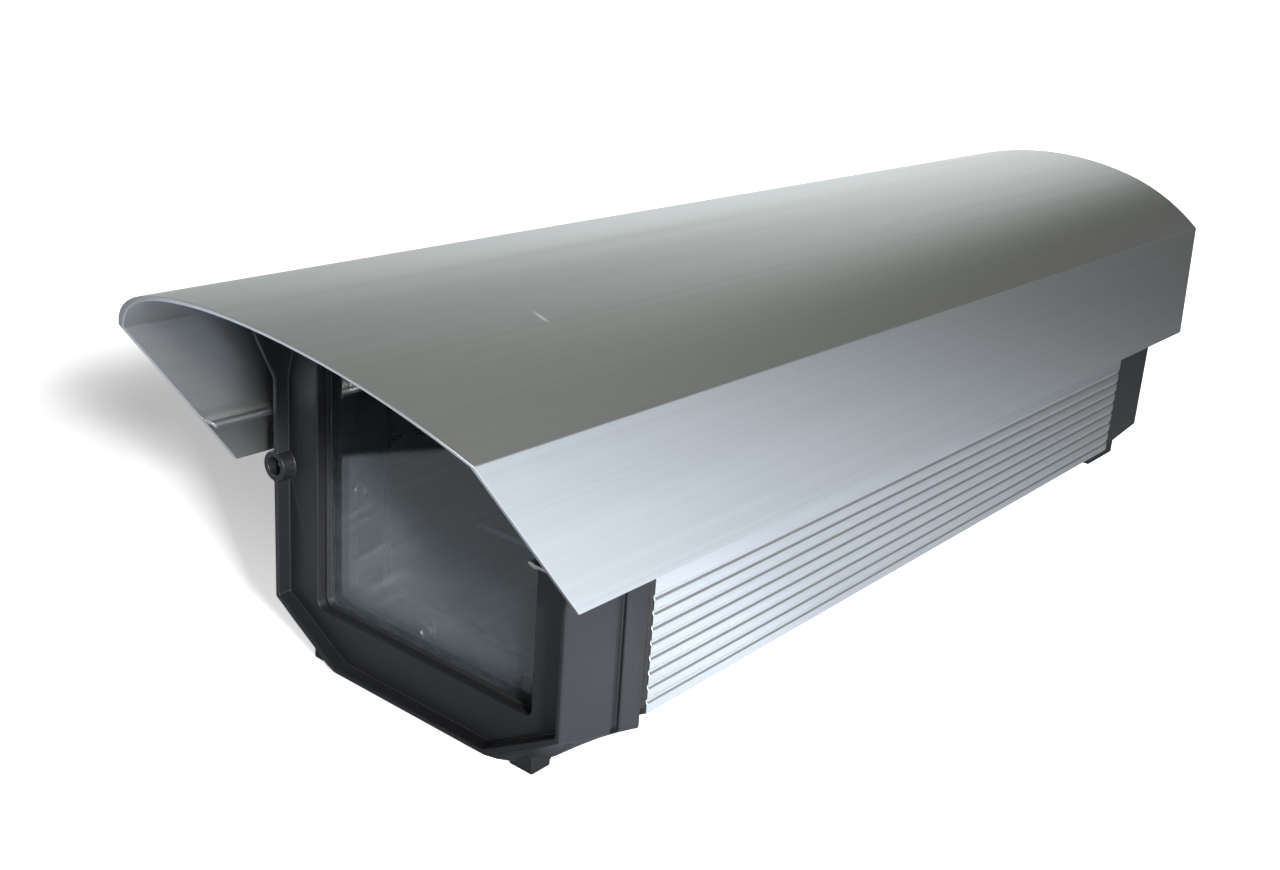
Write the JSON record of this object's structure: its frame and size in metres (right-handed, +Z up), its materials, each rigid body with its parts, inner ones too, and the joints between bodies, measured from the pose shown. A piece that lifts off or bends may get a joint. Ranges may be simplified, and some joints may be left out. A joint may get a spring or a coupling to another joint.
{
  "type": "security camera housing",
  "caption": "Ribbed aluminium camera housing with a hinged arched cover, moulded end caps, a flat front window and a long sliding sunshield cut obliquely at the front.",
  "frame": {"origin": "mouth of the middle bracket hole in the flat underside of the body, halfway along it", "axes": "-Y is the way the window looks, +X is the right hand of a viewer who faces the window, +Z is up"},
  "size_m": [0.1408, 0.4726, 0.1333],
  "materials": {
    "body_aluminium": "satin anodised, extruded",
    "shield_aluminium": "satin anodised, extruded",
    "tray_aluminium": "mill",
    "cap_plastic": "fine moulded grain",
    "gland_plastic": "moulded",
    "pad_plastic": "smooth",
    "window_glass": "clear",
    "black_rubber": "matt",
    "steel": "zinc plated",
    "brass": "knurled"
  },
  "bodies": {
    "base": {"lower_body": "body_aluminium", "front_cap": "cap_plastic", "rear_cap": "cap_plastic", "window_glass": "window_glass", "window_gasket": "black_rubber", "window_retaining_frame": "tray_aluminium", "window_frame_screws": "steel", "front_seal": "black_rubber", "rear_seal": "black_rubber", "front_cap_screws": "steel", "rear_cap_screws": "steel", "hinge_pin_front": "steel", "hinge_pin_rear": "steel", "hinge_side_gasket": "black_rubber", "closing_side_gasket": "black_rubber", "bracket_plate": "steel", "cable_gland_bodies": "gland_plastic", "cable_gland_seals": "black_rubber", "cable_gland_nuts": "gland_plastic", "cable_gland_lock_nuts": "gland_plastic"},
    "cover": {"cover_shell": "body_aluminium", "closing_screws": "steel", "shield_lock_screws": "steel"},
    "shield": {"sunshield": "shield_aluminium"},
    "tray": {"camera_tray": "tray_aluminium", "tray_lock_screw": "brass", "camera_screw": "brass", "insulating_pad": "pad_plastic"}
  },
  "joints": [
    {"name": "cover_hinge", "type": "hinge", "parent": "base", "child": "cover", "pos_m": [-0.06, 0, 0.059], "axis": [0, -1, 0], "range_deg": [0, 80]},
    {"name": "sunshield_slide", "type": "slide", "parent": "cover", "child": "shield", "axis": [0, 1, 0], "range_m": [-0.025, 0.025]},
    {"name": "camera_tray_slide", "type": "slide", "parent": "base", "child": "tray", "axis": [0, 1, 0], "range_m": [-0.035, 0.035]}
  ]
}
